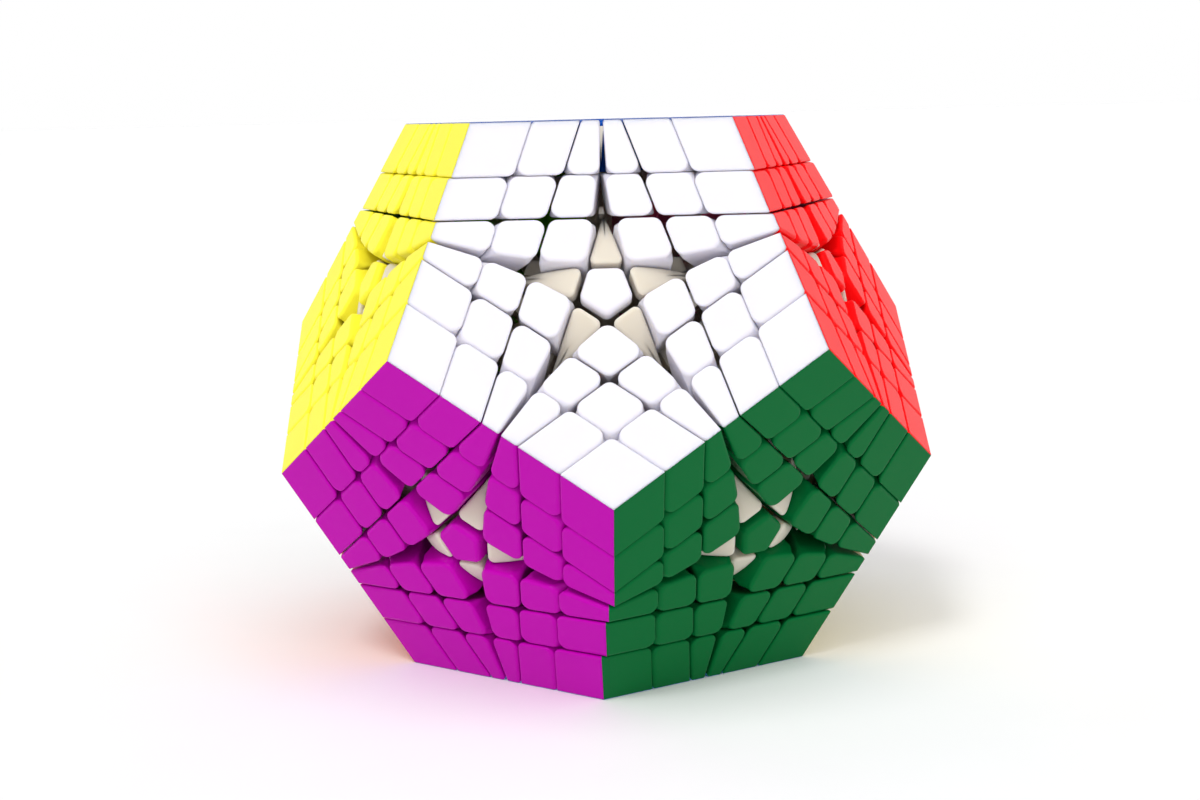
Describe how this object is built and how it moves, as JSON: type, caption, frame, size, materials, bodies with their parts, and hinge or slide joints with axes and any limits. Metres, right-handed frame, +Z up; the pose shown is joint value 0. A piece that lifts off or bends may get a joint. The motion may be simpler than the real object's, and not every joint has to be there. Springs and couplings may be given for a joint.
{
  "type": "twisty puzzle",
  "caption": "Pentagon-faced solid twisty puzzle; rounded tiles in kite groups around star-shaped wells, with stacked layers that turn about the upright axis.",
  "frame": {"origin": "on the floor plane under the middle of the puzzle, which stands on its sky-blue face", "axes": "+Z up through the middle of the top face; -Y towards the white face; +Y towards the grey face's side"},
  "size_m": [0.123, 0.1294, 0.1047],
  "materials": {
    "white_plastic": "satin moulded plastic, coloured through",
    "red_plastic": "satin moulded plastic, coloured through",
    "pink_plastic": "satin moulded plastic, coloured through",
    "lime_plastic": "satin moulded plastic, coloured through",
    "yellow_plastic": "satin moulded plastic, coloured through",
    "green_plastic": "satin moulded plastic, coloured through",
    "cream_plastic": "satin moulded plastic, coloured through",
    "grey_plastic": "satin moulded plastic, coloured through",
    "orange_plastic": "satin moulded plastic, coloured through",
    "purple_plastic": "satin moulded plastic, coloured through",
    "sky_plastic": "satin moulded plastic, coloured through",
    "blue_plastic": "satin moulded plastic, coloured through",
    "ivory_plastic": "satin moulded plastic",
    "screw_steel": "plain turned steel",
    "spring_steel": "drawn wire"
  },
  "bodies": {
    "middle": {"mid_white": "white_plastic", "mid_red": "red_plastic", "mid_pink": "pink_plastic", "mid_lime": "lime_plastic", "mid_yellow": "yellow_plastic", "mid_green": "green_plastic", "mid_cream": "cream_plastic", "mid_grey": "grey_plastic", "mid_orange": "orange_plastic", "mid_purple": "purple_plastic", "petals_mid": "ivory_plastic", "feet_mid": "ivory_plastic", "core": "ivory_plastic", "screws": "screw_steel", "springs": "spring_steel", "axis_side": "ivory_plastic"},
    "top_layer_1": {"top_blue": "blue_plastic", "t1_white": "white_plastic", "t1_red": "red_plastic", "t1_pink": "pink_plastic", "t1_lime": "lime_plastic", "t1_yellow": "yellow_plastic", "petals_t1": "ivory_plastic", "axis_top": "ivory_plastic"},
    "top_layer_2": {"t2_white": "white_plastic", "t2_red": "red_plastic", "t2_pink": "pink_plastic", "t2_lime": "lime_plastic", "t2_yellow": "yellow_plastic", "petals_t2": "ivory_plastic", "feet_t2": "ivory_plastic"},
    "top_layer_3": {"t3_white": "white_plastic", "t3_red": "red_plastic", "t3_pink": "pink_plastic", "t3_lime": "lime_plastic", "t3_yellow": "yellow_plastic", "petals_t3": "ivory_plastic", "feet_t3": "ivory_plastic"},
    "bottom_layer_1": {"b1_green": "green_plastic", "b1_cream": "cream_plastic", "b1_grey": "grey_plastic", "b1_orange": "orange_plastic", "b1_purple": "purple_plastic", "bottom_sky": "sky_plastic", "petals_b1": "ivory_plastic", "axis_bottom": "ivory_plastic"},
    "bottom_layer_2": {"b2_green": "green_plastic", "b2_cream": "cream_plastic", "b2_grey": "grey_plastic", "b2_orange": "orange_plastic", "b2_purple": "purple_plastic", "petals_b2": "ivory_plastic", "feet_b2": "ivory_plastic"},
    "bottom_layer_3": {"b3_green": "green_plastic", "b3_cream": "cream_plastic", "b3_grey": "grey_plastic", "b3_orange": "orange_plastic", "b3_purple": "purple_plastic", "petals_b3": "ivory_plastic", "feet_b3": "ivory_plastic"}
  },
  "joints": [
    {"name": "top_layer_1_turn", "type": "hinge", "parent": "middle", "child": "top_layer_1", "pos_m": [0, 0, 0.05233], "axis": [0, 0, 1], "continuous": true},
    {"name": "top_layer_2_turn", "type": "hinge", "parent": "middle", "child": "top_layer_2", "pos_m": [0, 0, 0.05233], "axis": [0, 0, 1], "continuous": true},
    {"name": "top_layer_3_turn", "type": "hinge", "parent": "middle", "child": "top_layer_3", "pos_m": [0, 0, 0.05233], "axis": [0, 0, 1], "continuous": true},
    {"name": "bottom_layer_1_turn", "type": "hinge", "parent": "middle", "child": "bottom_layer_1", "pos_m": [0, 0, 0.05233], "axis": [0, 0, 1], "continuous": true},
    {"name": "bottom_layer_2_turn", "type": "hinge", "parent": "middle", "child": "bottom_layer_2", "pos_m": [0, 0, 0.05233], "axis": [0, 0, 1], "continuous": true},
    {"name": "bottom_layer_3_turn", "type": "hinge", "parent": "middle", "child": "bottom_layer_3", "pos_m": [0, 0, 0.05233], "axis": [0, 0, 1], "continuous": true}
  ]
}
